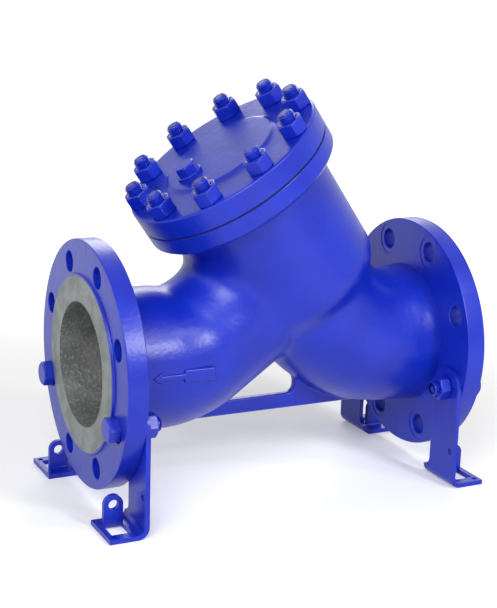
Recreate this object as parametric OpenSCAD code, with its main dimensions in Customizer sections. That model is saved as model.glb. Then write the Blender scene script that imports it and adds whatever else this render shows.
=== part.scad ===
// Flanged Y-type strainer: a cast body with a leaning leg, a bolted cover with a drain plug,
// a lift-out screen inside the leg, and four bent-strip feet bolted behind the pipe flanges.
// Frame: X runs along the pipe with the inlet at +X, Y runs across it, and Z is up.
// The origin is on the floor under the middle of the face-to-face length.

/* [Pipe ends] */
// Distance between the two raised faces
face_to_face = 480; // [460:1:620]
// Bore of the pipe ends
bore_d = 150; // [120:1:180]
// Thickness of the cast wall
wall_t = 12; // [8:0.5:16]
// Outer diameter of the pipe flanges
flange_od = 300; // [290:1:360]
// Thickness of a pipe flange without its raised face
flange_t = 25; // [18:0.5:32]
// Height of the raised face
raised_h = 3; // [1:0.5:4]
// Distance from a flange hole's centre to the rim
flange_edge = 25; // [18:0.5:30]
// Diameter of the flange holes
flange_hole_d = 26; // [18:1:30]
// Number of holes in each pipe flange
flange_holes = 8; // [8]
// Land between the raised face and the flange holes
raised_land = 3; // [1:0.5:10]
// Height of the pipe axis above the floor
axis_h = 172; // [165:1:220]

/* [Leg] */
// Lean of the leg away from the vertical, towards the outlet
leg_lean = 35; // [32:1:40]
// Straight neck between the inlet flange and the inlet bend
inlet_tail = 36; // [10:1:80]
// Radius of the inside of the inlet bend
inlet_throat = 43; // [25:1:55]
// Radius of the inside of the outlet bend
outlet_throat = 13; // [8:1:24]
// Distance along the leg from the pipe axis to the middle of the outlet branch
outlet_s = 124.5; // [114:0.5:128]
// How much slimmer than the outlet neck the branch is where it joins the leg
branch_slim = 6.5; // [0.5:0.5:10]
// Distance along the leg from the pipe axis to the shelf that carries the screen
shelf_s = 110; // [100:1:116]
// Distance along the leg from the pipe axis to the joint face
joint_s = 269.5; // [262:0.5:330]
// Space between the inlet tube and the leg's wall
annulus = 4; // [3:0.5:10]
// Length over which the leg widens
leg_flare = 25; // [15:1:30]
// Thickness of the body's cover flange
leg_flange_t = 26; // [23:0.5:30]
// Chamfer under the body's cover flange
leg_flange_chamfer = 6; // [2:0.5:7]

/* [Cover] */
// Thickness of the cover
cover_t = 26.5; // [18:0.5:32]
// Chamfer on the cover's top edge
cover_chamfer = 2; // [1:0.5:4]
// Radius of the raised disc on the cover
disc_r = 75; // [66:1:78]
// Height of the raised disc
disc_h = 4; // [2:0.5:8]
// Depth of the register that enters the leg
register_h = 6; // [4:0.5:10]
// Width of the cover gasket
gasket_w = 6; // [5:0.5:10]
// Thickness of the cover gasket
gasket_t = 2; // [1:0.5:3]

/* [Cover fasteners] */
// Number of cover studs
studs = 10; // [8:2:12]
// Diameter of the cover studs
stud_d = 20; // [16:1:24]
// Depth of thread in the body's cover flange
stud_depth = 22; // [14:0.5:22]
// Length of stud above the nut
stud_tip = 10; // [4:0.5:16]
// Distance from a stud's centre to the cover's rim
stud_edge = 17.5; // [15:0.5:22]
// Height of a nut
nut_h = 18; // [14:0.5:22]

/* [Drain plug] */
// Distance of the plug from the leg axis, towards the low side
plug_offset = 45; // [36:1:50]
// Diameter of the plug's pipe thread
plug_d = 26.4; // [20:0.2:33]
// Length of thread on the plug
plug_l = 16; // [12:0.5:20]
// Diameter of the plug's collar
plug_collar_d = 31.5; // [30:0.5:42]
// Height of the plug's collar
plug_collar_h = 3; // [2:0.5:5]
// Height of the plug's hexagon
plug_hex_h = 11.5; // [8:0.5:16]
// Thickness of the plug's sealing ring
plug_seal_t = 1.5; // [1:0.5:3]

/* [Screen] */
// Depth of the recess that locates the screen
recess_h = 5; // [3:0.5:8]
// Radial width of the screen's end rings
ring_w = 6; // [5:0.5:8]
// Height of the screen's end rings
ring_h = 12; // [8:0.5:16]
// Thickness of the perforated sheet
sheet_t = 1.5; // [1:0.5:2]
// Thickness of the woven liner
liner_t = 0.5; // [0.4:0.1:0.8]
// Diameter of the holes in the sheet
sheet_hole_d = 10; // [6:0.5:12]
// Holes in one row around the sheet
sheet_holes = 20; // [16:2:24]
// Rows of holes along the sheet
sheet_rows = 8; // [6:1:10]

/* [Feet] */
// Diameter of the foot bolts
foot_bolt_d = 18; // [14:1:22]
// Height of a foot bolt's head
bolt_head_h = 14; // [8:0.5:18]
// Height of a foot bolt's nut
foot_nut_h = 15; // [10:0.5:20]
// Length of a foot bolt beyond its nut
bolt_tip = 6; // [2:0.5:12]
// Width of the foot's upright strip
strip_w = 52; // [44:1:56]
// Thickness of the strip
strip_t = 6; // [4:0.5:8]
// Least space between the strip and the pipe's neck
neck_gap = 5; // [2:0.5:8]
// Inside radius of the bend at the floor
strip_bend_r = 8; // [5:0.5:12]
// Width that the strip gains at the floor plate, with the radius of its fillet
foot_flare = 12; // [6:0.5:12]
// Length of the flat floor plate
plate_l = 34; // [34:0.5:48]
// Width of the tab that is cut from the plate and bent up
tab_w = 24; // [18:0.5:24]
// Inside radius of the tab's bend
tab_bend_r = 3; // [2:0.5:4]
// Distance from the strip's bend to the window
window_gap = 3; // [1:0.5:4]
// Distance from the window to the plate's outer edge
window_rim = 13; // [12:0.5:16]
// Length of the window that the tab is cut from
window_l = 36; // [32:0.5:38]
// Height of the tab's eye above the floor
eye_h = 31; // [28:0.5:44]
// Diameter of the tab's eye
eye_d = 12; // [8:0.5:14]
// Diameter of the screw hole in the plate
screw_hole_d = 6.5; // [4:0.5:7]
// Distance from the screw hole's centre to the plate's edges
screw_edge = 7.5; // [5:0.5:9]
// Diameter of the small hole in the strip
strip_hole_d = 8; // [5:0.5:10]
// Height of the small hole in the strip above the floor
strip_hole_h = 48; // [40:0.5:70]
// Distance from the small hole's centre to the strip's outer edge
strip_hole_edge = 8; // [6:0.5:14]

/* [Rib and arrow] */
// Thickness of the rib that ties the two branches together
rib_t = 11; // [8:0.5:16]
// Height of the rib
rib_h = 20; // [16:0.5:24]
// Distance from the leg's foot back to the gusset at the rib's inlet end
gusset_back = 60; // [54:1:66]
// Length of the flow arrow on the outlet neck
arrow_l = 80; // [60:1:90]
// Half height of the arrow's head and tail
arrow_half = 8; // [5:0.5:12]
// Half height of the arrow's shaft
arrow_shaft = 3.5; // [2:0.5:5]
// Distance from the outlet flange to the arrow's point
arrow_gap = 29; // [10:1:40]
// Height that the arrow stands above the neck
arrow_h = 2; // [1:0.5:3]

/* [Clearances] */
// Radial play of threads that are drawn plain
thread_play = 0.06; // [0.04:0.01:0.09]
// Radial play of the cover's holes round the studs
hole_play = 1; // [0.5:0.25:2]
// Radial play of the screen in its recess and of the cover's register in the leg
register_play = 0.5; // [0.3:0.1:1]
// Radial play of the sealing ring round the plug
seal_play = 0.4; // [0.3:0.1:0.6]
// End play between the screen and the cover
screen_play = 0.3; // [0.2:0.1:1]

/* [Hidden] */
$fn = 96;

// Ends and sides that carry a foot: a name and a sign along X or Y
ENDS = [["outlet", -1], ["inlet", 1]];
SIDES = [["front", -1], ["back", 1]];

paint = "#2d3ec3";
steel = "#b8bcc0";
graphite = "#3a3b3d";
copper = "#b4764a";

// Cutters reach this far past the face that they open, and joined tubes this far into each other
cut = 1;
// The bends are this much slimmer than the straight tubes that they join
bend_step = 0.3;
// Places that come from angles are rounded to this, so that faces that meet agree
grid = 0.01;

function on_grid(size) = round(size / grid) * grid;

// Radii of the cast tubes
bore_r = bore_d / 2;
neck_r = bore_r + wall_t;
chamber_r = neck_r + annulus;
leg_r = chamber_r + wall_t;

// Pipe flanges
face_x = face_to_face / 2;
flange_face_x = face_x - raised_h;
flange_back_x = flange_face_x - flange_t;
flange_pcr = flange_od / 2 - flange_edge;
raised_r = flange_pcr - flange_hole_d / 2 - raised_land;
hole_step = 360 / flange_holes;

// Bends, and the place where the leg axis leaves the pipe axis
inlet_turn = 90 - leg_lean;
inlet_bend_r = neck_r + inlet_throat;
inlet_tangent = inlet_bend_r * tan(inlet_turn / 2);
inlet_bend_x = flange_back_x - inlet_tail;
leg_x = inlet_bend_x - inlet_tangent;
outlet_bend_r = neck_r + outlet_throat;
outlet_tangent = outlet_bend_r * tan(leg_lean / 2);
outlet_bend_x = leg_x - outlet_s / sin(leg_lean) - outlet_tangent;
outlet_branch_l = outlet_s / tan(leg_lean) - outlet_tangent;
// The outlet bend slims towards the leg in short lengths that lap each other
outlet_bend_parts = 5;
outlet_bend_turn = leg_lean / outlet_bend_parts;
outlet_bend_taper = branch_slim / (outlet_bend_parts + 1);
outlet_bend_lap = 0.6;

// Heights along the leg axis, counted from the pipe axis
flare_s = inlet_tangent + 5;
leg_flange_s = joint_s - leg_flange_t;
cover_s = joint_s + gasket_t;
cover_top_s = cover_s + cover_t;
disc_top_s = cover_top_s + disc_h;
nut_top_s = cover_top_s + nut_h;
seat_s = shelf_s - recess_h;

// Bolt circle of the cover, clear of the gasket
stud_r = stud_d / 2;
gasket_in_r = chamber_r + 1;
gasket_out_r = gasket_in_r + gasket_w;
stud_pcr = gasket_out_r + stud_r + 2;
cover_r = stud_pcr + stud_edge;
stud_step = 360 / studs;

// Hexagons, across flats
nut_af = 1.5 * stud_d;
foot_af = 1.5 * foot_bolt_d;
plug_af = plug_collar_d - 8.5;

// Screen: the rings sit on the shelf inside its recess and under the cover inside its register
ring_in_r = bore_r + 1;
ring_out_r = ring_in_r + ring_w;
recess_r = ring_out_r + register_play;
screen_top_s = cover_s - screen_play;
sheet_out_r = ring_out_r - 1;
sheet_in_r = sheet_out_r - sheet_t;
liner_in_r = sheet_in_r - liner_t;
sheet_s = seat_s + ring_h;
sheet_l = screen_top_s - ring_h - sheet_s;
row_step = sheet_l / sheet_rows;

// Feet: the bolt is in the first flange hole below the pipe axis, and the flange's weight rests on it,
// so it sits at the top of the hole
bolt_rise = (flange_hole_d - foot_bolt_d) / 2 - thread_play;
foot_y = on_grid(flange_pcr * cos(hole_step / 2));
foot_z = on_grid(axis_h - flange_pcr * sin(hole_step / 2) + bolt_rise);
strip_out_y = foot_y + strip_w / 2;
strip_in_y = foot_y - strip_w / 2;
plate_in_y = strip_in_y - foot_flare;
bend_out_r = strip_bend_r + strip_t;
bend_x = flange_back_x + strip_bend_r;
plate_end_x = bend_x + plate_l;
window_x = bend_x + window_gap;
tab_y = strip_out_y - window_rim - window_l;

// Rib under the notch between the branches, and the gusset at its inlet end, which ends inside the wall
rib_z = axis_h - neck_r + 1;
gusset_x = leg_x - gusset_back;
gusset_h = neck_r - sqrt(pow(inlet_bend_r + neck_r, 2) - pow(inlet_bend_x - gusset_x, 2))
    + inlet_bend_r + wall_t / 2;

// Puts its children on the pipe axis at x, with their Z along +X
module along_pipe(x) translate([x, 0, axis_h]) rotate([0, 90, 0]) children();

// Puts its children on the leg axis at the height s, with their Z along the leg and X to its high side
module along_leg(s) translate([leg_x, 0, axis_h]) rotate([0, -leg_lean, 0]) translate([0, 0, s]) children();

// Puts one child at every cover stud, with Z along the leg from the height s
module at_studs(s)
    for (i = [0 : studs - 1])
        along_leg(s) rotate((i + 0.5) * stud_step) translate([stud_pcr, 0, 0]) children();

// Mirrors a foot that is drawn for the inlet end at the back
module at_foot(end, side) scale([end, side, 1]) children();

// Bend of a round tube that starts under its centre and turns up towards the outlet
module elbow(x, bend_r, tube_r, from, turn)
    translate([x, 0, axis_h + bend_r]) rotate([-90, 0, 0]) rotate(90 + from)
        rotate_extrude(angle = turn) translate([bend_r, 0]) circle(r = tube_r);

// Inlet tube: in along the pipe axis from end_x, round the bend and up the leg to the height top_s
module inlet_run(r, end_x, top_s) {
    along_pipe(inlet_bend_x - cut) cylinder(r = r, h = end_x - inlet_bend_x + cut);
    elbow(inlet_bend_x, inlet_bend_r, r - bend_step, 0, inlet_turn);
    along_leg(inlet_tangent - cut) cylinder(r = r, h = top_s - inlet_tangent + cut);
}

// Outlet tube: square out of the leg, round the bend and out along the pipe axis to -end_x
module outlet_run(r, end_x) {
    along_pipe(-end_x) cylinder(r = r, h = outlet_bend_x + end_x + cut);
    for (i = [1 : outlet_bend_parts])
        elbow(outlet_bend_x, outlet_bend_r, r - i * outlet_bend_taper, -i * outlet_bend_turn,
            outlet_bend_turn + outlet_bend_lap);
    along_leg(outlet_s) rotate([0, -90, 0]) cylinder(r = r - branch_slim, h = outlet_branch_l + cut);
}

// Hexagon prism with turned-down corners on its far end, and on its near end where both is true
module hexagon(af, h, both) {
    corner_r = af / 2 / cos(30);
    crown = (corner_r - af / 2) * tan(30);
    foot = both ? crown : 0;
    intersection() {
        cylinder(r = corner_r, h = h, $fn = 6);
        rotate_extrude() polygon([
            [0, 0], [both ? af / 2 : corner_r, 0], [corner_r, foot],
            [corner_r, h - crown], [af / 2, h], [0, h]
        ]);
    }
}

// Round bar with a chamfered far end
module stud_bar(r, h) {
    chamfer = r / 8;
    rotate_extrude() polygon([[0, 0], [r, 0], [r, h - chamfer], [r - chamfer, h], [0, h]]);
}

// Pipe flange with its raised face, drawn with the raised face away from the start
module pipe_flange() {
    cylinder(r = flange_od / 2, h = flange_t);
    cylinder(r = raised_r, h = flange_t + raised_h);
}

// Outside of the leg: it widens above the inlet bend and ends in the cover flange
module leg_shell()
    along_leg(0) rotate_extrude() polygon([
        [0, flare_s], [bore_r + wall_t / 2, flare_s], [leg_r, flare_s + leg_flare], [leg_r, leg_flange_s],
        [cover_r - leg_flange_chamfer, leg_flange_s], [cover_r, leg_flange_s + leg_flange_chamfer],
        [cover_r, joint_s], [0, joint_s]
    ]);

// Rib that ties the outlet bend to the inlet bend, with its gusset
module rib() {
    translate([outlet_bend_x + cut, -rib_t / 2, rib_z])
        cube([inlet_bend_x - outlet_bend_x - 2 * cut, rib_t, rib_h]);
    translate([gusset_x, -rib_t / 2, rib_z]) cube([inlet_bend_x - gusset_x - 2 * cut, rib_t, gusset_h]);
}

// Flow arrow cast on the front of the outlet neck, pointing at the outlet
module flow_arrow() {
    tip_x = -flange_back_x + arrow_gap;
    head_x = tip_x + 1.6 * arrow_half;
    tail_x = tip_x + arrow_l / 2;
    intersection() {
        outlet_run(neck_r + arrow_h, flange_back_x);
        translate([0, -neck_r / 2, axis_h]) rotate([90, 0, 0]) linear_extrude(neck_r) polygon([
            [tip_x, 0], [head_x, arrow_half], [head_x, arrow_shaft], [tail_x, arrow_shaft],
            [tail_x, arrow_half], [tip_x + arrow_l, arrow_half], [tip_x + arrow_l, -arrow_half],
            [tail_x, -arrow_half], [tail_x, -arrow_shaft], [head_x, -arrow_shaft], [head_x, -arrow_half]
        ]);
    }
}

// Space inside the body: the chamber, the screen's recess, the inlet tube and the outlet passage round it
module cavity() {
    along_leg(shelf_s) cylinder(r = chamber_r, h = joint_s - shelf_s + cut);
    along_leg(seat_s) cylinder(r = recess_r, h = recess_h + cut);
    inlet_run(bore_r, face_x + cut, seat_s + cut);
    difference() {
        outlet_run(bore_r, face_x + cut);
        inlet_run(neck_r, flange_back_x, shelf_s + cut);
    }
}

// Cast body with both pipe flanges and the tapped cover flange
module body() color(paint) difference() {
    union() {
        inlet_run(neck_r, flange_back_x + cut, flare_s + leg_flare);
        outlet_run(neck_r, flange_back_x + cut);
        leg_shell();
        along_pipe(flange_back_x) pipe_flange();
        mirror([1, 0, 0]) along_pipe(flange_back_x) pipe_flange();
        rib();
        flow_arrow();
    }
    cavity();
    for (i = [0 : flange_holes - 1], x = [-flange_face_x - cut, flange_back_x - cut])
        along_pipe(x) rotate((i + 0.5) * hole_step) translate([flange_pcr, 0, 0])
            cylinder(d = flange_hole_d, h = flange_t + 2 * cut);
    at_studs(joint_s - stud_depth) cylinder(r = stud_r + thread_play, h = stud_depth + cut);
}

// Round cover with its raised disc, its register, the stud holes and the drain hole
module cover() color(paint) difference() {
    along_leg(0) rotate_extrude() polygon([
        [0, cover_s], [recess_r, cover_s], [recess_r, cover_s - register_h],
        [chamber_r - register_play, cover_s - register_h], [chamber_r - register_play, cover_s],
        [cover_r, cover_s], [cover_r, cover_top_s - cover_chamfer], [cover_r - cover_chamfer, cover_top_s],
        [disc_r, cover_top_s], [disc_r - disc_h, disc_top_s], [0, disc_top_s]
    ]);
    at_studs(cover_s - cut) cylinder(r = stud_r + hole_play, h = cover_t + 2 * cut);
    along_leg(cover_s - cut) translate([-plug_offset, 0, 0])
        cylinder(r = plug_d / 2 + thread_play, h = cover_t + disc_h + 2 * cut);
}

// Flat ring that seals the joint inside the bolt circle
module cover_gasket() color(graphite) along_leg(joint_s) difference() {
    cylinder(r = gasket_out_r, h = gasket_t);
    translate([0, 0, -cut]) cylinder(r = gasket_in_r, h = gasket_t + 2 * cut);
}

// Studs screwed into the body's cover flange
module cover_studs() color(paint)
    at_studs(joint_s - stud_depth) stud_bar(stud_r, nut_top_s + stud_tip - joint_s + stud_depth);

// Nuts on the studs, each stopped at its own angle
module cover_nuts() color(paint)
    for (i = [0 : studs - 1])
        along_leg(cover_top_s) rotate((i + 0.5) * stud_step) translate([stud_pcr, 0, 0]) rotate(i * 23)
            difference() {
                hexagon(nut_af, nut_h, true);
                translate([0, 0, -cut]) cylinder(r = stud_r + thread_play, h = nut_h + 2 * cut);
            }

// Screwed plug with a collar and a hexagon
module drain_plug() color(paint)
    along_leg(disc_top_s + plug_seal_t) translate([-plug_offset, 0, 0]) {
        mirror([0, 0, 1]) stud_bar(plug_d / 2, plug_l + plug_seal_t);
        cylinder(d = plug_collar_d, h = plug_collar_h);
        translate([0, 0, plug_collar_h]) hexagon(plug_af, plug_hex_h, false);
    }

// Soft metal ring under the plug's collar
module drain_plug_seal() color(copper) along_leg(disc_top_s) translate([-plug_offset, 0, 0]) difference() {
    cylinder(d = plug_collar_d + 1, h = plug_seal_t);
    translate([0, 0, -cut]) cylinder(r = plug_d / 2 + seal_play, h = plug_seal_t + 2 * cut);
}

// Perforated sheet rolled into a cylinder, with rows of holes set half a step apart
module screen_sheet() color(steel) along_leg(sheet_s) difference() {
    cylinder(r = sheet_out_r, h = sheet_l);
    translate([0, 0, -cut]) cylinder(r = sheet_in_r, h = sheet_l + 2 * cut);
    for (row = [0 : sheet_rows - 1], i = [0 : sheet_holes - 1])
        translate([0, 0, (row + 0.5) * row_step]) rotate((i + row % 2 / 2) * 360 / sheet_holes)
            translate([sheet_in_r - 2 * cut, 0, 0]) rotate([0, 90, 0])
                cylinder(d = sheet_hole_d, h = sheet_t + 4 * cut);
}

// Fine woven liner, drawn as the thin sleeve that it fills
module screen_liner() color(steel) along_leg(sheet_s) difference() {
    cylinder(r = sheet_in_r, h = sheet_l);
    translate([0, 0, -cut]) cylinder(r = liner_in_r, h = sheet_l + 2 * cut);
}

// End ring of the screen
module screen_ring(s) color(steel) along_leg(s) difference() {
    cylinder(r = ring_out_r, h = ring_h);
    translate([0, 0, -cut]) cylinder(r = ring_in_r, h = ring_h + 2 * cut);
}

// Outline of the upright strip: a round top about the bolt hole, and a fillet down to the plate's width.
// A neck that reaches further out than the strip's edge is cleared by an arc.
module strip_outline() difference() {
    union() {
        translate([foot_y, foot_z]) circle(d = strip_w);
        translate([strip_in_y, bend_out_r]) square([strip_w, foot_z - bend_out_r]);
        difference() {
            translate([plate_in_y, bend_out_r]) square([foot_flare + strip_t, foot_flare]);
            translate([plate_in_y, bend_out_r + foot_flare]) circle(r = foot_flare);
        }
    }
    translate([foot_y, foot_z]) circle(d = foot_bolt_d + 2 * hole_play);
    translate([strip_out_y - strip_hole_edge, strip_hole_h]) circle(d = strip_hole_d);
    translate([0, axis_h]) circle(r = neck_r + neck_gap);
}

// Outline of the floor plate with its window and screw hole
module plate_outline() difference() {
    translate([bend_x, plate_in_y]) square([plate_l, strip_out_y - plate_in_y]);
    translate([window_x, tab_y]) square([tab_w, window_l]);
    translate([plate_end_x - screw_edge, strip_out_y - screw_edge]) circle(d = screw_hole_d);
}

// Tab bent up from the window's inner end, with a round top about its eye
module tab() {
    top = tab_bend_r + strip_t;
    translate([window_x, tab_y, top]) rotate([90, 0, 90])
        rotate(-90) rotate_extrude(angle = 90) translate([tab_bend_r, 0]) square([strip_t, tab_w]);
    translate([window_x + tab_w / 2, tab_y + top, 0]) rotate([90, 0, 0]) linear_extrude(strip_t)
        difference() {
            union() {
                translate([0, eye_h]) circle(d = tab_w);
                translate([-tab_w / 2, top]) square([tab_w, eye_h - top]);
            }
            translate([0, eye_h]) circle(d = eye_d);
        }
}

// One foot, drawn for the inlet end at the back
module foot() color(paint) {
    translate([flange_back_x - strip_t, 0, 0]) rotate([90, 0, 90]) linear_extrude(strip_t) strip_outline();
    translate([bend_x, strip_out_y, bend_out_r]) rotate([90, 0, 0]) rotate(180)
        rotate_extrude(angle = 90) translate([strip_bend_r, 0]) square([strip_t, strip_out_y - plate_in_y]);
    linear_extrude(strip_t) plate_outline();
    tab();
}

// Bolt through the flange and the strip, with its head on the flange's outer side,
// turned so that a flat faces the raised face
module foot_bolt() color(paint) {
    shank = flange_t + strip_t + foot_nut_h + bolt_tip;
    translate([flange_face_x, foot_y, foot_z]) rotate([0, 90, 0]) {
        rotate(atan2(foot_y, axis_h - foot_z) - 30) hexagon(foot_af, bolt_head_h, false);
        mirror([0, 0, 1]) stud_bar(foot_bolt_d / 2, shank);
    }
}

// Nut that holds the strip against the flange
module foot_nut() color(paint)
    translate([flange_back_x - strip_t - foot_nut_h, foot_y, foot_z]) rotate([0, 90, 0]) difference() {
        rotate(30) hexagon(foot_af, foot_nut_h, true);
        translate([0, 0, -cut]) cylinder(r = foot_bolt_d / 2 + thread_play, h = foot_nut_h + 2 * cut);
    }

body();
cover();
cover_gasket();
cover_studs();
cover_nuts();
drain_plug();
drain_plug_seal();
screen_sheet();
screen_liner();
screen_ring(screen_top_s - ring_h);  // screen_top_ring
screen_ring(seat_s);  // screen_bottom_ring
for (end = ENDS, side = SIDES) {
    place = str(end[0], "_", side[0]);
    at_foot(end[1], side[1]) foot();
    at_foot(end[1], side[1]) foot_bolt();
    at_foot(end[1], side[1]) foot_nut();
}
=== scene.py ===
"""Looks of a flanged Y-type pipe strainer on strip feet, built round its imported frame.
X runs along the pipe with the inlet at +X, Z is up, and all sizes are in metres."""
import math

import bmesh
import bpy
from mathutils import Matrix, Vector


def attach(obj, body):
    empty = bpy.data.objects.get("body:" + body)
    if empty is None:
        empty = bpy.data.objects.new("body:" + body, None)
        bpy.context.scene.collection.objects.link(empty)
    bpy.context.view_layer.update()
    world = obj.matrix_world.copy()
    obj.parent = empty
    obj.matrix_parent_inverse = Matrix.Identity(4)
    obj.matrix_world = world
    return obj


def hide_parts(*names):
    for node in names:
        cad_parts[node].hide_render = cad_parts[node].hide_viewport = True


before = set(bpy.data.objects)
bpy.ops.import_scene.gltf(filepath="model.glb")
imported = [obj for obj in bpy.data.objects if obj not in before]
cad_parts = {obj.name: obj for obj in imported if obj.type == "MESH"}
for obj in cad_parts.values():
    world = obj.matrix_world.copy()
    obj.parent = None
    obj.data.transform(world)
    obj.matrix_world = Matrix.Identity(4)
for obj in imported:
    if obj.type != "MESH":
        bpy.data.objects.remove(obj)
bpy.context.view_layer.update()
scene = bpy.context.scene

# Body casting: one grey iron pour between the flanges, sand-rough and sprayed with blue enamel.
# The inlet bends up into the leaning leg, the outlet branch leaves the leg square and bends down
# to the pipe line. Soft fillets run where the tubes meet, and the necks swell a little at the flanges.
PIPE_Z = 0.172
LEAN = math.radians(35)
NECK_R = 0.087
BRANCH_R = 0.0805
LEG_R = 0.103
LEG_X = 0.108326
FLANGE_BACK = 0.212
LEG_FLANGE = 0.2435
INLET_BEND_X = 0.176
INLET_BEND_R = 0.130
OUTLET_BEND_X = -0.140263
OUTLET_BEND_R = 0.100
BRANCH_L = 0.146273
BRANCH_S = 0.1245
SEAT_NECK_R = 0.119
PAST = 0.05
LEG_PAST = 0.30
DRAW_IN = 0.0010
CUT_IN = 0.0015
pipe = Matrix.Translation((0, 0, PIPE_Z)) @ Matrix.Rotation(math.pi / 2, 4, "Y")
leg = Matrix.Translation((LEG_X, 0, PIPE_Z)) @ Matrix.Rotation(-LEAN, 4, "Y")
to_leg = leg.inverted()


def tube(bm, places, sides=72):
    """Closed round tube through places, each a matrix with Z along the tube and a radius."""
    here, wide = places[0]
    made = bmesh.ops.create_circle(bm, cap_ends=True, segments=sides, radius=wide, matrix=here)
    end = made["verts"][0].link_faces[0]
    for place, radius in places[1:]:
        grown = bmesh.ops.extrude_face_region(bm, geom=[end])["geom"]
        end = next(g for g in grown if isinstance(g, bmesh.types.BMFace) and len(g.verts) == sides)
        step = place @ Matrix.Scale(radius / wide, 4) @ here.inverted()
        bmesh.ops.transform(bm, matrix=step, verts=end.verts[:])
        here, wide = place, radius


def along(base, height):
    """Place on the axis of base at that height."""
    return base @ Matrix.Translation((0, 0, height))


def in_bend(x, radius, turn, side):
    """Place in a bend that starts at x on the pipe line and turns up, towards +X or -X by side."""
    angle = math.radians(turn)
    spot = (x + side * radius * math.sin(angle), 0, PIPE_Z + radius - radius * math.cos(angle))
    return Matrix.Translation(spot) @ Matrix.Rotation(side * (math.pi / 2 - angle), 4, "Y")


def melted(name, bm, voxel, rounds):
    """Joins the closed shells of bm into one skin and softens it, as a bmesh."""
    bmesh.ops.recalc_face_normals(bm, faces=bm.faces)
    mesh = bpy.data.meshes.new(name)
    bm.to_mesh(mesh)
    bm.free()
    rough = bpy.data.objects.new(name, mesh)
    scene.collection.objects.link(rough)
    remesh = rough.modifiers.new("pour", "REMESH")
    remesh.mode = "VOXEL"
    remesh.voxel_size = voxel
    soften = rough.modifiers.new("soften", "SMOOTH")
    soften.factor = 0.5
    soften.iterations = rounds
    poured = rough.evaluated_get(bpy.context.evaluated_depsgraph_get()).to_mesh()
    out = bmesh.new()
    out.from_mesh(poured)
    bpy.data.objects.remove(rough)
    return out


swell = NECK_R + DRAW_IN
hub = ((PAST, 0.0032), (0, 0.0032), (-0.006, 0.0018), (-0.013, 0.0006), (-0.022, 0))
inlet = [(along(pipe, FLANGE_BACK + x) @ Matrix.Rotation(math.pi, 4, "Y"), swell + r) for x, r in hub]
inlet.append((along(pipe, INLET_BEND_X) @ Matrix.Rotation(math.pi, 4, "Y"), swell))
inlet += [(in_bend(INLET_BEND_X, INLET_BEND_R, turn, -1), swell) for turn in range(5, 60, 5)]
flare = ((0.072, 0.0), (0.078, 0.08), (0.084, 0.3), (0.090, 0.6), (0.096, 0.86), (0.103, 1.0),
         (LEG_PAST, 1.0))
inlet += [(along(leg, s), swell + share * (LEG_R - NECK_R)) for s, share in flare]
outlet = [(along(pipe, -FLANGE_BACK - x), swell + r) for x, r in hub] + [(along(pipe, OUTLET_BEND_X), swell)]
for turn in range(5, 40, 5):
    slim = swell - (NECK_R - BRANCH_R) * turn / 35
    outlet.append((in_bend(OUTLET_BEND_X, OUTLET_BEND_R, turn, 1), slim))
outlet.append((along(outlet[-1][0], BRANCH_L), BRANCH_R + DRAW_IN))
shells = bmesh.new()
tube(shells, inlet)
tube(shells, outlet)
tube(shells, [(along(leg, LEG_FLANGE + 0.001), SEAT_NECK_R), (along(leg, LEG_PAST), SEAT_NECK_R)])
skin = melted("poured_tubes", shells, voxel=0.0026, rounds=70)

# Rib and gusset: a flat web of the same pour that ties the two bends together under the notch.
# The window above it is a lifting point, with a round corner at the gusset.
RIB_T = 0.011
rib_line = [(-0.139, 0.086), (0.174, 0.086), (0.174, 0.131), (0.0483, 0.131), (0.0483, 0.106),
            (-0.139, 0.106)]
web = bmesh.new()
corners = [web.verts.new((x, -RIB_T / 2, z)) for x, z in rib_line]
web.faces.new(corners)
bmesh.ops.bevel(web, geom=[corners[4]], offset=0.010, segments=6, profile=0.5, affect="VERTICES", material=-1)
grown = bmesh.ops.extrude_face_region(web, geom=web.faces[:])["geom"]
bmesh.ops.translate(web, vec=(0, RIB_T, 0), verts=[g for g in grown if isinstance(g, bmesh.types.BMVert)])
bmesh.ops.recalc_face_normals(web, faces=web.faces)


def added(bm, part, place):
    """Moves part to place and adds it to bm."""
    bmesh.ops.transform(part, matrix=place, verts=part.verts)
    store = bpy.data.meshes.new("part")
    part.to_mesh(store)
    part.free()
    bm.from_mesh(store)
    bpy.data.meshes.remove(store)


added(skin, web, Matrix())
casting = melted("poured_body", skin, voxel=0.0023, rounds=7)
# The corner between the branch and the leg is rubbed down in three rounds, the widest first.
for reach in (0.046, 0.038, 0.030):
    saddle = []
    for v in casting.verts:
        x, y, z = to_leg @ v.co
        off_leg = abs(math.hypot(x, y) - LEG_R)
        off_branch = abs(math.hypot(y, z - BRANCH_S) - BRANCH_R)
        if x < 0 and z > BRANCH_S - 0.02 and max(off_leg, off_branch) < reach:
            saddle.append(v)
    for _ in range(70):
        bmesh.ops.smooth_vert(casting, verts=saddle, factor=0.5, use_axis_x=True, use_axis_y=True,
                              use_axis_z=True)
# The tubes are cut off just inside each flange, and the leg's cut stops short of the outlet neck.
neck_end = FLANGE_BACK + CUT_IN
leg_end = along(leg, LEG_FLANGE + CUT_IN).translation
for centre, out, west in (((neck_end, 0, 0), (1, 0, 0), -1), ((-neck_end, 0, 0), (-1, 0, 0), -1),
                          (leg_end, leg.to_3x3() @ Vector((0, 0, 1)), -0.14)):
    cut_faces = [f for f in casting.faces if (to_leg @ f.calc_center_median()).x > west]
    cut_edges = list(dict.fromkeys(e for f in cut_faces for e in f.edges))
    cut_verts = list(dict.fromkeys(v for f in cut_faces for v in f.verts))
    bmesh.ops.bisect_plane(casting, geom=cut_verts + cut_edges + cut_faces, dist=1e-7, plane_co=centre,
                           plane_no=out, clear_outer=True)


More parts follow.
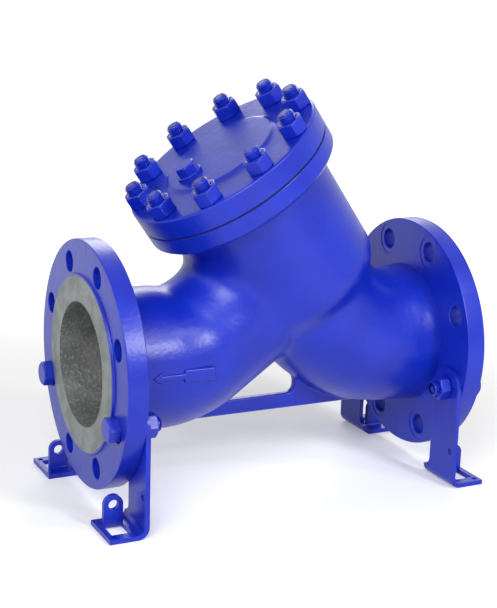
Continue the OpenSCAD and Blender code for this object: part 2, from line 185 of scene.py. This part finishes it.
class Wire:
    """A socket of a finish; sums with it add Math nodes."""

    def __init__(self, tree, socket=None):
        self.tree = tree
        self.socket = socket

    def node(self, kind, settings=None, inputs=None, output=0):
        """Adds a node, sets it up, joins its inputs and gives one of its outputs."""
        made = self.tree.nodes.new(kind)
        for key, value in (settings or {}).items():
            setattr(made, key, value)
        for key, value in (inputs or {}).items():
            if isinstance(value, Wire):
                self.tree.links.new(value.socket, made.inputs[key])
            else:
                made.inputs[key].default_value = value
        return Wire(self.tree, made.outputs[output] if made.outputs else None)

    def sum(self, operation, *terms):
        return self.node("ShaderNodeMath", {"operation": operation}, dict(enumerate(terms)))

    def __add__(self, other):
        return self.sum("ADD", self, other)

    def __radd__(self, other):
        return self.sum("ADD", other, self)

    def __rsub__(self, other):
        return self.sum("SUBTRACT", other, self)

    def __mul__(self, other):
        return self.sum("MULTIPLY", self, other)

    def __rmul__(self, other):
        return self.sum("MULTIPLY", other, self)

    def above(self, low, high):
        """0 below low, 1 above high, and smooth between them."""
        return self.node("ShaderNodeMapRange", {"interpolation_type": "SMOOTHSTEP"},
                         {"Value": self, "From Min": low, "From Max": high})

    def grain(self, spots, scale, detail=2.0):
        """Noise over the places in spots, about scale grains to the metre."""
        return self.node("ShaderNodeTexNoise", {"noise_dimensions": "3D"},
                         {"Vector": spots, "Scale": scale, "Detail": detail, "Roughness": 0.55})

    def mix(self, share, first, second):
        """Colour between first and second by share."""
        return self.node("ShaderNodeMix", {"data_type": "RGBA"}, {0: share, 6: first, 7: second}, 2)


def finish_of(name):
    """A new empty finish, a wire to build it with, and the places on the piece that has it."""
    made = bpy.data.materials.new(name)
    made.use_nodes = True
    made.node_tree.nodes.clear()
    blank = Wire(made.node_tree)
    return made, blank, blank.node("ShaderNodeTexCoord", output="Object")


def coated(wire, settings, height, distance):
    """Closes a finish: a surface with these sockets, roughened by height over that distance."""
    bump = wire.node("ShaderNodeBump", {}, {"Height": height, "Distance": distance, "Strength": 1.0})
    surface = wire.node("ShaderNodeBsdfPrincipled", {}, {**settings, "Normal": bump})
    wire.node("ShaderNodeOutputMaterial", {}, {"Surface": surface})


BLUE = (0.004, 0.023, 0.460, 1)
BLUE_DEEP = (0.003, 0.016, 0.390, 1)
BLUE_PALE = (0.010, 0.038, 0.520, 1)
enamel, wire, spots = finish_of("blue_enamel")
cloud = wire.grain(spots, 16, 3.0)
sand = wire.grain(spots, 420, 3.0)
peel = wire.grain(spots, 150, 1.0)
wave = wire.grain(spots, 40, 1.0)
fleck = wire.grain(spots, 900, 1.0).above(0.62, 0.74)
tint = wire.mix(cloud.above(0.35, 0.65), BLUE_DEEP, BLUE)
tint = wire.mix(sand.above(0.5, 0.8) * 0.5, tint, BLUE_PALE)
coated(wire, {"Base Color": wire.mix(fleck * 0.25, tint, BLUE_DEEP),
              "Roughness": 0.25 + 0.08 * sand + 0.06 * cloud, "Specular IOR Level": 0.42},
       0.14 * sand + 0.45 * peel + 0.4 * wave, 0.0005)


def settled(name, bm, body, finishes, stands_for=(), crease=34):
    """Makes bm a piece that rides on a body, smooth except at edges sharper than crease degrees."""
    for face in bm.faces:
        face.smooth = True
    for edge in bm.edges:
        edge.smooth = not edge.is_manifold or edge.calc_face_angle() < math.radians(crease)
    mesh = bpy.data.meshes.new(name)
    bm.to_mesh(mesh)
    bm.free()
    piece = bpy.data.objects.new(name, mesh)
    scene.collection.objects.link(piece)
    for finish in finishes:
        mesh.materials.append(finish)
    even = piece.modifiers.new("even_normals", "WEIGHTED_NORMAL")
    even.keep_sharp = True
    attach(piece, body)
    if stands_for:
        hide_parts(*stands_for)
    return piece


settled("body_casting", casting, "body", [enamel], ["body"], 60)

# Passages: the rough inside of the same casting, left as cast with a thin grey primer.
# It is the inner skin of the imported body: both bores, the partition, the shelf and the leg's chamber.
BORE_R = 0.075
PORT_X = 0.240
JOINT_S = 0.2695
bore_iron, wire, spots = finish_of("cast_bore")
coarse = wire.grain(spots, 230, 4.0)
fine = wire.grain(spots, 900, 2.0)
smudge = wire.grain(spots, 30, 3.0)
dull = wire.mix(smudge.above(0.4, 0.66), (0.15, 0.155, 0.155, 1), (0.24, 0.245, 0.24, 1))
glint = coarse.above(0.52, 0.66)
coated(wire, {"Base Color": wire.mix(glint * 0.8, dull, (0.50, 0.51, 0.50, 1)),
              "Roughness": 0.55 - 0.2 * glint, "Metallic": 0.35 + 0.4 * glint},
       coarse + 0.4 * fine, 0.0009)
inside = bmesh.new()
inside.from_mesh(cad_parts["body"].data)
bmesh.ops.remove_doubles(inside, verts=inside.verts, dist=1e-6)
ends = [f for f in inside.faces if abs(f.calc_center_median().x) > PORT_X - 0.0001
        or abs((to_leg @ f.calc_center_median()).z - JOINT_S) < 1e-5]
bmesh.ops.delete(inside, geom=ends, context="FACES_ONLY")
inside.faces.ensure_lookup_table()
bore_faces = [f for f in inside.faces if abs(f.calc_center_median().x) > 0.16
              and math.hypot(f.calc_center_median().y, f.calc_center_median().z - PIPE_Z) < BORE_R + 0.0005]
# With the port and joint faces gone, the wet skin is all that hangs together with the bores.
wet = set(bore_faces)
edge_of = list(bore_faces)
while edge_of:
    for edge in edge_of.pop().edges:
        for face in edge.link_faces:
            if face not in wet:
                wet.add(face)
                edge_of.append(face)
bmesh.ops.delete(inside, geom=[f for f in inside.faces if f not in wet], context="FACES")
settled("body_passages", inside, "body", [bore_iron], crease=30)

# Pipe flanges: round plates cast on the necks, with eight bolt holes that are spot-faced at the back.
# The raised face is turned bare and bright, and paint laps a little way over its rim.
FLANGE_R = 0.150
FLANGE_T = 0.025
HOLE_RING = 0.125
HOLE_R = 0.0130
HOLE_RIM_R = 0.0138
SPOT_R = 0.0200
RAISED_R = 0.109
RAISED_FOOT_R = 0.111
RAISED_H = 0.003
BARE_R = 0.106
BORE_LIP_R = 0.07505
ROUND = 0.0016


def turned(bm, place, profile, steps=96, closed=False):
    """Spins a profile of radius and height about the Z of place."""
    part = bmesh.new()
    points = [part.verts.new((r, 0, z)) for r, z in profile]
    links = [part.edges.new(pair) for pair in zip(points, points[1:])]
    if closed:
        links.append(part.edges.new((points[-1], points[0])))
    bmesh.ops.spin(part, geom=points + links, cent=(0, 0, 0), axis=(0, 0, 1), angle=2 * math.pi,
                   steps=steps, use_merge=True)
    bmesh.ops.remove_doubles(part, verts=part.verts, dist=1e-7)
    bmesh.ops.recalc_face_normals(part, faces=part.faces)
    added(bm, part, place)


def faced(bm, place, rings):
    """Flat face on the XY plane of place inside the first ring and outside the others.
    A ring is x, y, radius and steps."""
    part = bmesh.new()
    for x, y, radius, steps in rings:
        bmesh.ops.create_circle(part, cap_ends=False, segments=steps, radius=radius,
                                matrix=Matrix.Translation((x, y, 0)))
    bmesh.ops.triangle_fill(part, use_beauty=True, edges=part.edges[:], normal=(0, 0, 1))
    added(bm, part, place)


def closed_up(bm):
    """Merges the shells' meeting edges and turns all faces outwards."""
    bmesh.ops.remove_doubles(bm, verts=bm.verts, dist=2e-6)
    bmesh.ops.recalc_face_normals(bm, faces=bm.faces)


def around(count, radius, offset=0.5):
    """Places of count things on a circle, the first half a step round."""
    turns = [(i + offset) * 2 * math.pi / count for i in range(count)]
    return [(radius * math.cos(t), radius * math.sin(t)) for t in turns]


bare, wire, spots = finish_of("turned_face")
flat = wire.node("ShaderNodeVectorMath", {"operation": "MULTIPLY_ADD"},
                 {0: spots, 1: (0, 1, 1), 2: (0, 0, -PIPE_Z)})
radius = wire.node("ShaderNodeVectorMath", {"operation": "LENGTH"}, {0: flat}, 1)
ring_noise = wire.node("ShaderNodeTexNoise", {"noise_dimensions": "1D"}, {"W": radius * 900, "Detail": 3.0})
cut_lines = wire.sum("SINE", radius * 7000) * 0.5 + 0.5
stain = wire.grain(spots, 45, 4.0)
damp = wire.grain(spots, 13, 2.0).above(0.42, 0.62)
speck = wire.grain(spots, 420, 3.0).above(0.54, 0.66)
bright = wire.mix(ring_noise.above(0.3, 0.7), (0.20, 0.228, 0.23, 1), (0.32, 0.355, 0.36, 1))
dulled = wire.mix(stain.above(0.44, 0.64) * 0.6, bright, (0.14, 0.15, 0.145, 1))
dulled = wire.mix(damp * 0.45, dulled, (0.12, 0.13, 0.125, 1))
coated(wire, {"Base Color": wire.mix(speck * 0.5, dulled, (0.13, 0.13, 0.12, 1)),
              "Metallic": 0.75 - 0.35 * stain, "Roughness": 0.34 + 0.18 * stain},
       cut_lines * 0.4 + ring_noise + 0.8 * speck, 0.00015)

for end, side in (("inlet", 1), ("outlet", -1)):
    place = Matrix.Translation((side * FLANGE_BACK, 0, PIPE_Z)) @ Matrix.Rotation(side * math.pi / 2, 4, "Y")
    flange = bmesh.new()
    face = along(place, FLANGE_T)
    holes = around(8, HOLE_RING)
    turned(flange, place, [(FLANGE_R - ROUND, 0), (FLANGE_R - 0.3 * ROUND, 0.3 * ROUND), (FLANGE_R, ROUND),
                           (FLANGE_R, FLANGE_T - ROUND), (FLANGE_R - 0.3 * ROUND, FLANGE_T - 0.3 * ROUND),
                           (FLANGE_R - ROUND, FLANGE_T)], 128)
    turned(flange, face, [(RAISED_FOOT_R, 0), (0.1094, 0.0004), (RAISED_R, 0.0012), (RAISED_R, 0.0020),
                          (0.1086, 0.0027), (0.1078, RAISED_H), (BARE_R, RAISED_H), (0.0764, RAISED_H),
                          (BORE_LIP_R, 0.0022), (BORE_LIP_R, -FLANGE_T)], 128)
    for x, y in holes:
        drill = place @ Matrix.Translation((x, y, 0))
        turned(flange, drill, [(SPOT_R, 0), (0.0198, 0.0008), (HOLE_RIM_R, 0.0008), (HOLE_R, 0.0016),
                               (HOLE_R, FLANGE_T - 0.0008), (HOLE_RIM_R, FLANGE_T)], 40)
    faced(flange, place, [(0, 0, FLANGE_R - ROUND, 128), (0, 0, BORE_LIP_R, 128)]
          + [(x, y, SPOT_R, 40) for x, y in holes])
    faced(flange, face, [(0, 0, FLANGE_R - ROUND, 128), (0, 0, RAISED_FOOT_R, 128)]
          + [(x, y, HOLE_RIM_R, 40) for x, y in holes])
    closed_up(flange)
    to_face = face.inverted()
    for f in flange.faces:
        spot = to_face @ f.calc_center_median()
        if math.hypot(spot.x, spot.y) < BARE_R and spot.z > 0.0021:
            f.material_index = 1
    settled(f"{end}_flange", flange, "body", [enamel, bare])

# Leg flange: the round seat at the top of the leg, part of the pour, chamfered below.
# Its face is turned bare, and ten studs are screwed into it.
COVER_R = 0.1275
LEG_BORE_R = 0.09105
SEAT_CHAMFER = 0.006
seat = bmesh.new()
turned(seat, leg, [(LEG_BORE_R, JOINT_S), (COVER_R, JOINT_S), (COVER_R, LEG_FLANGE + SEAT_CHAMFER),
                   (COVER_R - SEAT_CHAMFER, LEG_FLANGE), (LEG_BORE_R, LEG_FLANGE)], 128, True)
closed_up(seat)


def soften(bm, width, segments=2, sharper=25):
    """Rounds every edge that is sharper than that angle."""
    keen = [e for e in bm.edges if e.is_manifold and e.calc_face_angle() > math.radians(sharper)]
    bmesh.ops.bevel(bm, geom=keen, offset=width, segments=segments, profile=0.5, affect="EDGES", material=-1)


soften(seat, 0.0014)
for f in seat.faces:
    if (to_leg @ f.calc_center_median()).z > JOINT_S - 1e-5:
        f.material_index = 1
settled("leg_flange", seat, "body", [enamel, bare])

# Flow arrow: iron of the same pour, raised on the front of the outlet neck by the mould.
# It points at the outlet, and its edges are round under the paint.
ARROW_TIP = -0.183
ARROW_T = 0.005
ARROW_SUNK = 0.0020
arrow_line = [(0, 0), (0.0128, 0.008), (0.0128, 0.0035), (0.040, 0.0035), (0.040, 0.008), (0.080, 0.008),
              (0.080, -0.008), (0.040, -0.008), (0.040, -0.0035), (0.0128, -0.0035), (0.0128, -0.008)]
arrow = bmesh.new()
arrow.faces.new([arrow.verts.new((ARROW_TIP + x, 0, z)) for x, z in arrow_line])
grown = bmesh.ops.extrude_face_region(arrow, geom=arrow.faces[:])["geom"]
raised = [g for g in grown if isinstance(g, bmesh.types.BMVert)]
bmesh.ops.translate(arrow, vec=(0, -ARROW_T, 0), verts=raised)
bmesh.ops.recalc_face_normals(arrow, faces=arrow.faces)
soften(arrow, 0.0021, 4)
for v in arrow.verts:
    v.co.y -= math.sqrt(NECK_R ** 2 - v.co.z ** 2) - ARROW_SUNK
    v.co.z += PIPE_Z
settled("flow_arrow", arrow, "body", [enamel])

# Cover gasket: a flat graphite sheet ring clamped in the joint, inside the studs.
# A little of the blue spray has reached its edge.
graphite, wire, spots = finish_of("graphite_sheet")
flakes = wire.grain(spots, 700, 3.0)
coated(wire, {"Base Color": wire.mix(flakes, (0.008, 0.009, 0.022, 1), (0.026, 0.028, 0.070, 1)),
              "Roughness": 0.55 + 0.2 * flakes}, flakes, 0.0001)


def dressed(name, finish):
    """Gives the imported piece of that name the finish, and hands it back."""
    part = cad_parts[name]
    part.data.materials.clear()
    part.data.materials.append(finish)
    return part


dressed("cover_gasket", graphite)

# Cover studs: ten M20 steel studs with a plain lower half and a rolled thread above.
# They are screwed into the leg flange, and painted over with the nuts on.
STUD_R = 0.010
STUD_RING = 0.110
STUD_LOW = 0.2475
STUD_TOP = 0.326
STUD_PITCH = 0.0025
THREAD_LOW = 0.288


def threaded(bm, place, radius, pitch, low, high, chamfer):
    """Screw thread about the Z of place from low to high, with its tip turned down."""
    part = bmesh.new()
    root = radius - 0.6 * pitch
    shape = [(root, 0), (root, 0.12), (radius, 0.42), (radius, 0.58), (root, 0.88), (root, 1)]
    points = [part.verts.new((r, 0, low - pitch + z * pitch)) for r, z in shape]
    links = [part.edges.new(pair) for pair in zip(points, points[1:])]
    turns = math.ceil((high - low) / pitch) + 1
    steps = 28 * turns
    bmesh.ops.spin(part, geom=points + links, cent=(0, 0, 0), axis=(0, 0, 1), angle=2 * math.pi * turns,
                   steps=steps, dvec=(0, 0, pitch / 28))
    bmesh.ops.remove_doubles(part, verts=part.verts, dist=1e-6)
    for v in part.verts:
        reach = radius - max(0.0, v.co.z - (high - chamfer))
        wide = math.hypot(v.co.x, v.co.y)
        if wide > reach:
            v.co.x *= reach / wide
            v.co.y *= reach / wide
        v.co.z = min(max(v.co.z, low), high)
    bmesh.ops.dissolve_degenerate(part, dist=1e-7, edges=part.edges)
    for end in (low, high):
        rim = radius - chamfer if end == high else root
        bmesh.ops.create_circle(part, cap_ends=True, segments=28, radius=rim,
                                matrix=Matrix.Translation((0, 0, end)))
    bmesh.ops.recalc_face_normals(part, faces=part.faces)
    added(bm, part, place)


studs = bmesh.new()
for x, y in around(10, STUD_RING):
    spot = leg @ Matrix.Translation((x, y, 0))
    threaded(studs, spot, STUD_R, STUD_PITCH, THREAD_LOW, STUD_TOP, 0.0022)
    turned(studs, spot, [(0, STUD_LOW), (0.0099, STUD_LOW), (0.0099, 0.2875), (0.0088, 0.2886),
                         (0, 0.2886)], 28)
bmesh.ops.remove_doubles(studs, verts=studs.verts, dist=1e-6)
settled("cover_studs_threaded", studs, "body", [enamel], ["cover_studs"], 40)

# Cover: a round cast plate with a raised middle, drilled for the studs and tapped for the drain plug.
# A ring under it enters the leg and holds the top of the screen.
COVER_S = 0.2715
COVER_TOP = 0.298
DISC_TOP = 0.302
DISC_R = 0.0700
DISC_FOOT_R = 0.0790
REGISTER_R = 0.0905
REGISTER_IN_R = 0.0835
REGISTER_H = 0.006
PLUG_X = -0.045
PLUG_RIM_R = 0.0140
cover = bmesh.new()
stud_holes = [(x, y, 0.011, 32) for x, y in around(10, STUD_RING)]
turned(cover, leg, [(0.1265, COVER_S), (0.1272, COVER_S + 0.0003), (COVER_R, COVER_S + 0.001),
                    (COVER_R, COVER_TOP - 0.0026), (0.1271, COVER_TOP - 0.0016), (0.1261, COVER_TOP - 0.0005),
                    (0.1246, COVER_TOP)], 128)
turned(cover, leg, [(DISC_FOOT_R, COVER_TOP), (0.0763, COVER_TOP + 0.0004), (0.0742, COVER_TOP + 0.0014),
                    (0.0728, COVER_TOP + 0.0028), (0.0716, COVER_TOP + 0.0036), (DISC_R, DISC_TOP)], 128)
turned(cover, leg, [(REGISTER_IN_R, COVER_S), (REGISTER_IN_R, COVER_S - REGISTER_H),
                    (REGISTER_R, COVER_S - REGISTER_H), (REGISTER_R, COVER_S)], 128)
for x, y, r, steps in stud_holes:
    turned(cover, leg @ Matrix.Translation((x, y, 0)), [(r, COVER_S), (r, COVER_TOP)], steps)
turned(cover, leg @ Matrix.Translation((PLUG_X, 0, 0)),
       [(PLUG_RIM_R, COVER_S), (0.0133, COVER_S + 0.0007), (0.0133, DISC_TOP - 0.0007),
        (PLUG_RIM_R, DISC_TOP)], 40)
faced(cover, along(leg, COVER_TOP), [(0, 0, 0.1246, 128), (0, 0, DISC_FOOT_R, 128)] + stud_holes)
faced(cover, along(leg, DISC_TOP), [(0, 0, DISC_R, 128), (PLUG_X, 0, PLUG_RIM_R, 40)])
faced(cover, along(leg, COVER_S), [(0, 0, 0.1265, 128), (0, 0, REGISTER_R, 128)] + stud_holes)
faced(cover, along(leg, COVER_S), [(0, 0, REGISTER_IN_R, 128), (PLUG_X, 0, PLUG_RIM_R, 40)])
closed_up(cover)
settled("cover_plate", cover, "cover", [enamel], ["cover"])

# Cover nuts: ten forged M20 hexagon nuts that clamp the cover, each stopped at its own angle.
# Both ends are turned down at the corners, and they are painted over.
NUT_H = 0.018
NUT_ACROSS = 0.030


def six_sided(bm, place, loops, across, close):
    """Skins loops about the Z of place. A loop is a circle, (radius, z), or the hexagon, (None, z, drop),
    whose corners are drop lower."""
    part = bmesh.new()
    flat = across / 2
    rim = bmesh.ops.create_circle(part, cap_ends=False, segments=48, radius=flat)["verts"]
    loop_edges = part.edges[:]
    for number, loop in enumerate(loops):
        if number:
            grown = bmesh.ops.extrude_edge_only(part, edges=loop_edges)["geom"]
            rim = [g for g in grown if isinstance(g, bmesh.types.BMVert)]
            loop_edges = [g for g in grown if isinstance(g, bmesh.types.BMEdge)]
        for v in rim:
            turn = math.atan2(v.co.y, v.co.x)
            off_flat = turn % (math.pi / 3) - math.pi / 6
            edge_r = flat / math.cos(off_flat)
            wide = edge_r if loop[0] is None else loop[0]
            dip = loop[2] * (edge_r - flat) / (flat / math.cos(math.pi / 6) - flat) if loop[0] is None else 0
            v.co = Vector((wide * math.cos(turn), wide * math.sin(turn), loop[1] - dip))
    if close:
        bmesh.ops.remove_doubles(part, verts=part.verts, dist=1e-6)
    else:
        bmesh.ops.holes_fill(part, edges=part.edges, sides=48)
    bmesh.ops.recalc_face_normals(part, faces=part.faces)
    soften(part, 0.0005, 2, 34)
    added(bm, part, place)


def nut(bm, place, across, height, bore):
    """Hexagon nut with both ends turned down and a chamfered hole."""
    crown = across / 2 * 0.95
    low = [(bore, 0.001), (bore + 0.001, 0), (crown, 0), (None, 0.0006, -0.0014)]
    high = [(None, height - 0.0006, 0.0014), (crown, height), (bore + 0.001, height), (bore, height - 0.001)]
    six_sided(bm, place, low + high + low[:1], across, True)


nuts = bmesh.new()
for number, (x, y) in enumerate(around(10, STUD_RING)):
    turn = math.radians(36 * (number + 0.5) + 23 * number)
    on_cover = leg @ Matrix.Translation((x, y, COVER_TOP))
    nut(nuts, on_cover @ Matrix.Rotation(turn, 4, "Z"), NUT_ACROSS, NUT_H, STUD_R + 0.0001)
settled("cover_nuts_forged", nuts, "cover_nuts", [enamel], ["cover_nuts"], 40)

# Drain plug: a screwed steel plug with a collar and a hexagon on the low side of the cover.
# It is painted outside, and its thread, with a plain neck at the ring, shows when it is backed out.
PLUG_S = 0.30353
plug = bmesh.new()
plug_place = leg @ Matrix.Translation((PLUG_X, 0, PLUG_S))
six_sided(plug, along(plug_place, 0.003),
          [(0.0109, 0.0115), (None, 0.0110, 0.0012), (None, -0.0005, 0)], 0.023, False)
turned(plug, plug_place, [(0, 0), (0.0150, 0), (0.01575, 0.0006), (0.01575, 0.0023), (0.0150, 0.003),
                          (0, 0.003)], 64)
plug_down = plug_place @ Matrix.Rotation(math.pi, 4, "X")
turned(plug, plug_down, [(0, -0.001), (0.0120, -0.001), (0.0120, 0.0024), (0, 0.0024)], 40)
threaded(plug, plug_down, 0.0132, 0.0018, 0.0020, 0.0175, 0.0016)
bmesh.ops.remove_doubles(plug, verts=plug.verts, dist=1e-6)
settled("drain_plug_screwed", plug, "drain_plug", [enamel], ["drain_plug"], 40)

# Plug seal: a soft copper ring pressed flat under the plug's collar.
# Its rim is painted over, and the rest is bare and tarnished.
copper, wire, spots = finish_of("soft_copper")
tarnish = wire.grain(spots, 300, 3.0)


def leg_axes(wire, spots, centre):
    """The places measured from centre along the leg's own axes."""
    return wire.node("ShaderNodeMapping", {"vector_type": "TEXTURE"},
                     {"Vector": spots, "Location": centre, "Rotation": (0, -LEAN, 0)})


in_leg = leg_axes(wire, spots, plug_place.translation)
level = wire.node("ShaderNodeVectorMath", {"operation": "MULTIPLY"}, {0: in_leg, 1: (1, 1, 0)})
rim = wire.node("ShaderNodeVectorMath", {"operation": "LENGTH"}, {0: level}, 1).above(0.0152, 0.0157)
worn = wire.mix(tarnish.above(0.35, 0.7), (0.62, 0.27, 0.13, 1), (0.33, 0.15, 0.09, 1))
coated(wire, {"Base Color": wire.mix(rim, worn, BLUE), "Metallic": 1.0 - rim,
              "Roughness": 0.28 + 0.25 * tarnish}, tarnish, 0.00008)
dressed("drain_plug_seal", copper)

# Screen: a rolled stainless sheet with round holes between two end rings, lined with fine woven wire.
# It stands in the leg on the shelf, and lifts out once the cover is off.
stainless, wire, spots = finish_of("rolled_stainless")
in_leg = leg_axes(wire, spots, leg.translation)
streaks = wire.node("ShaderNodeMapping", {}, {"Vector": in_leg, "Scale": (60, 60, 2500)})
brushed = wire.grain(streaks, 1.0, 2.0)
smear = wire.grain(spots, 35, 3.0)
coated(wire, {"Base Color": wire.mix(brushed, (0.24, 0.25, 0.26, 1), (0.38, 0.39, 0.40, 1)),
              "Metallic": 1.0, "Roughness": 0.36 + 0.12 * brushed + 0.10 * smear}, brushed, 0.00006)
for name in ("screen_sheet", "screen_top_ring", "screen_bottom_ring"):
    dressed(name, stainless)
woven, wire, spots = finish_of("woven_wire")
in_leg = leg_axes(wire, spots, leg.translation)
x_part, y_part, z_part = [wire.node("ShaderNodeSeparateXYZ", {}, {"Vector": in_leg}, way)
                          for way in range(3)]
warp = wire.sum("SINE", wire.sum("ARCTAN2", y_part, x_part) * 250)
weft = wire.sum("SINE", z_part * 3140)
wires = wire.sum("MAXIMUM", warp, weft)
# The wires are grey, and the gaps between them are painted near black: painted shade in the openings of the
# weave.
coated(wire, {"Base Color": wire.mix(wires.above(-0.2, 0.9), (0.08, 0.08, 0.08, 1), (0.42, 0.43, 0.44, 1)),
              "Metallic": 0.9, "Roughness": 0.34}, wires, 0.0003)
dressed("screen_liner", woven)

# Feet: four lengths of flat bar, cropped round at the top, flared and bent at the floor.
# A tab with an eye is cut from each plate and bent up, and they are painted with the body.
for end in ("outlet", "inlet"):
    for side in ("front", "back"):
        foot = dressed(f"foot_{end}_{side}", enamel)
        weld = foot.modifiers.new("joined", "WELD")
        weld.merge_threshold = 1e-6
        edge = foot.modifiers.new("rounded", "BEVEL")
        edge.limit_method = "ANGLE"
        edge.angle_limit = math.radians(40)
        edge.width = 0.0012
        edge.segments = 2
        foot.modifiers.new("even_normals", "WEIGHTED_NORMAL")

# Foot bolts and nuts: M18 hexagon bolts through a flange hole and the strip, nuts behind, painted over.
# The flange rests on them, so they sit at the top of their holes.
FOOT_Y = 0.11548
FOOT_Z = 0.1281
M18_R = 0.009
M18_ACROSS = 0.027
head_turn = math.atan2(FOOT_Y, PIPE_Z - FOOT_Z) - math.pi / 6
for end, x_side in (("outlet", -1), ("inlet", 1)):
    for side, y_side in (("front", -1), ("back", 1)):
        turn = Matrix.Rotation(x_side * math.pi / 2, 4, "Y")
        head_at = Matrix.Translation((x_side * 0.237, y_side * FOOT_Y, FOOT_Z)) @ turn
        bolt = bmesh.new()
        turned_head = head_at @ Matrix.Rotation(x_side * y_side * head_turn, 4, "Z")
        head = [(0.0128, 0.014), (None, 0.0134, 0.0014), (None, 0, 0)]
        six_sided(bolt, turned_head, head, M18_ACROSS, False)
        back = head_at @ Matrix.Rotation(math.pi, 4, "X")
        turned(bolt, back, [(0, -0.001), (0.0089, -0.001), (0.0089, 0.028), (0.0078, 0.029), (0, 0.029)], 28)
        threaded(bolt, back, M18_R, 0.0025, 0.0285, 0.052, 0.002)
        bmesh.ops.remove_doubles(bolt, verts=bolt.verts, dist=1e-6)
        settled(f"foot_bolt_{end}_{side}_m18", bolt, "body", [enamel],
                [f"foot_bolt_{end}_{side}"], 40)
        behind = bmesh.new()
        on_strip = along(back, 0.031) @ Matrix.Rotation(math.pi / 6, 4, "Z")
        nut(behind, on_strip, M18_ACROSS, 0.015, M18_R + 0.0001)
        settled(f"foot_nut_{end}_{side}_m18", behind, "body", [enamel],
                [f"foot_nut_{end}_{side}"], 40)

# Studio: a pale floor and white walls, a broad soft light at the front left, a small one at the front
# right that the paint mirrors, and weak ones at the right, the left and the back.
floor_mesh = bpy.data.meshes.new("studio_floor")
ground = bmesh.new()
bmesh.ops.create_grid(ground, x_segments=1, y_segments=1, size=40)
ground.to_mesh(floor_mesh)
ground.free()
floor = bpy.data.objects.new("studio_floor", floor_mesh)
scene.collection.objects.link(floor)
pale, wire, spots = finish_of("pale_floor")


def straight_rays(wire):
    """1 for rays from the camera, from a mirror or through glass, and 0 for the light of the room."""
    kinds = ("Camera", "Glossy", "Transmission")
    seen = [wire.node("ShaderNodeLightPath", output=f"Is {kind} Ray") for kind in kinds]
    return wire.sum("MINIMUM", seen[0] + seen[1] + seen[2], 1.0)


away = wire.node("ShaderNodeVectorMath", {"operation": "LENGTH"}, {0: spots}, 1)
fade = (0.24 + 0.56 * away.above(0.4, 2.0)) * straight_rays(wire)
chalk = wire.node("ShaderNodeBsdfPrincipled", {}, {
    "Base Color": (0.86, 0.86, 0.86, 1), "Roughness": 0.8, "Emission Strength": 1.0,
    "Emission Color": wire.mix(fade, (0, 0, 0, 1), (1, 1, 1, 1))})
wire.node("ShaderNodeOutputMaterial", {}, {"Surface": chalk})
floor_mesh.materials.append(pale)
world = bpy.data.worlds.new("white_walls")
scene.world = world
world.use_nodes = True
world.node_tree.nodes.clear()
wire = Wire(world.node_tree)
room = 0.20 + 0.80 * straight_rays(wire)
sky = wire.node("ShaderNodeBackground", {}, {"Color": (1, 1, 1, 1), "Strength": room})
wire.node("ShaderNodeOutputWorld", {}, {"Surface": sky})
for name, spot, wide, tall, power in (
        ("key", (-1.2, -1.4, 1.5), 1.0, 1.0, 30), ("front", (0.55, -1.75, 1.2), 0.3, 0.5, 19),
        ("right", (0.9, -1.24, 1.69), 0.25, 0.25, 5), ("left", (-2.0, -0.4, 1.0), 1.2, 1.2, 4),
        ("back", (0.9, 2.0, 1.5), 1.2, 1.2, 20)):
    lamp = bpy.data.lights.new(name, "AREA")
    lamp.shape = "RECTANGLE"
    lamp.size = wide
    lamp.size_y = tall
    lamp.energy = power
    held = bpy.data.objects.new(name, lamp)
    scene.collection.objects.link(held)
    held.location = spot
    held.rotation_euler = (Vector((0, 0, 0.2)) - Vector(spot)).to_track_quat("-Z", "Y").to_euler()

# Camera: from the front left and a little above, level but for a slight roll,
# so that the outlet's face, the cover's top and the inlet's back are seen together.
camera = bpy.data.objects.new("camera", bpy.data.cameras.new("camera"))
scene.collection.objects.link(camera)
camera.data.lens = 82.5
right = Vector((0.89772, -0.43949, 0.030795))
up = Vector((0.080798, 0.232947, 0.969127))
camera.matrix_world = Matrix.Translation((-0.77240, -1.50964, 0.65329)) @ Matrix((
    right, up, right.cross(up))).transposed().to_4x4()
scene.camera = camera
scene.view_settings.view_transform = "Standard"
